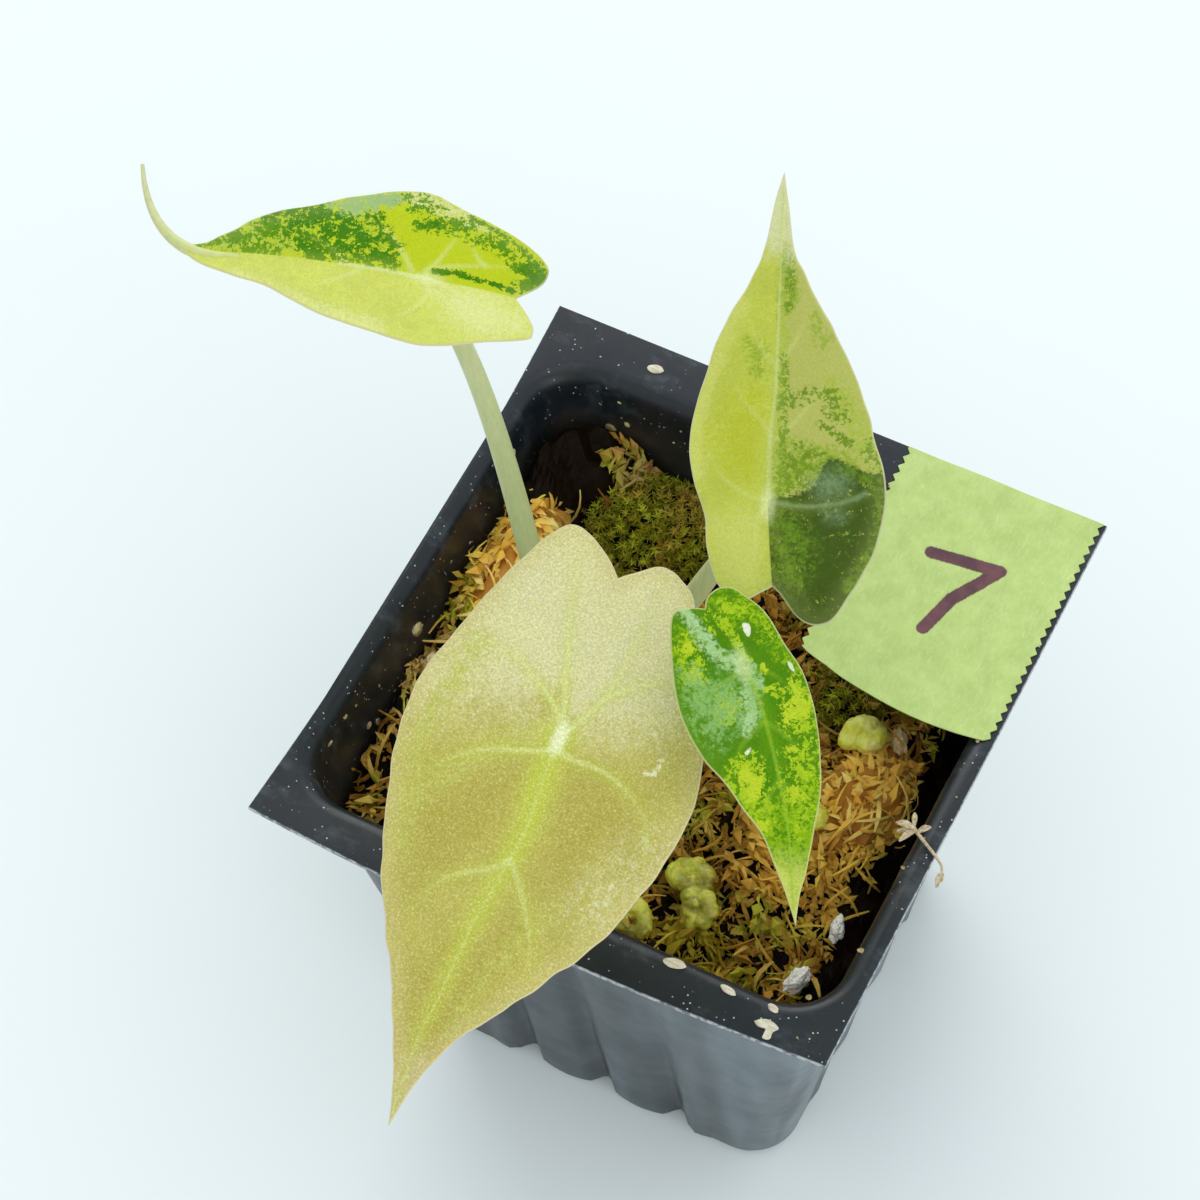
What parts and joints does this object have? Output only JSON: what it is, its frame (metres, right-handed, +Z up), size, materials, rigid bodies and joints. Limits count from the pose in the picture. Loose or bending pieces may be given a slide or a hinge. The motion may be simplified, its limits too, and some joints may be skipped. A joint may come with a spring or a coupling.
{
  "type": "potted kris plant",
  "caption": "Young variegated kris plant with arrow-shaped leaves on slender stalks, growing in moss in a square black nursery pot with a strip of paper tape on its rim.",
  "frame": {"origin": "centre of the flat underside of the pot's base", "axes": "+Z up; -Y towards the front, the wide side of the rim that the largest leaf hangs over; +X to the right seen from the front"},
  "size_m": [0.1018, 0.1041, 0.1197],
  "materials": {
    "black_plastic": "satin",
    "leaf_olive": "satin",
    "leaf_lime": "satin",
    "leaf_green": "satin",
    "leaf_pale": "satin",
    "corm_tan": "matte",
    "moss_brown": "matte",
    "moss_gold": "matte",
    "moss_rust": "matte",
    "moss_green": "matte",
    "moss_head": "satin",
    "perlite_white": "matte",
    "bark_tan": "matte",
    "tape_paper": "matte",
    "dry_scale": "matte"
  },
  "bodies": {
    "root": {"pot": "black_plastic", "moss_gold_left": "moss_gold", "moss_rust_right": "moss_rust", "moss_green_back": "moss_green", "moss_green_right": "moss_green", "moss_head_front": "moss_head", "moss_head_low": "moss_head", "moss_head_back": "moss_head", "moss_head_side": "moss_head", "perlite_corner": "perlite_white", "perlite_side": "perlite_white", "bark_chip_back": "bark_tan", "bark_chip_left": "bark_tan", "moss_bed": "moss_brown", "corm_and_roots": "corm_tan", "leaf_front": "leaf_olive", "leaf_back_left": "leaf_lime", "leaf_small": "leaf_green", "leaf_back_right": "leaf_pale", "label_tape": "tape_paper", "flake_front_a": "dry_scale", "flake_front_b": "dry_scale", "flake_front_c": "dry_scale", "flake_back": "dry_scale", "flake_hooked": "dry_scale", "dry_wisp": "dry_scale"}
  },
  "joints": []
}
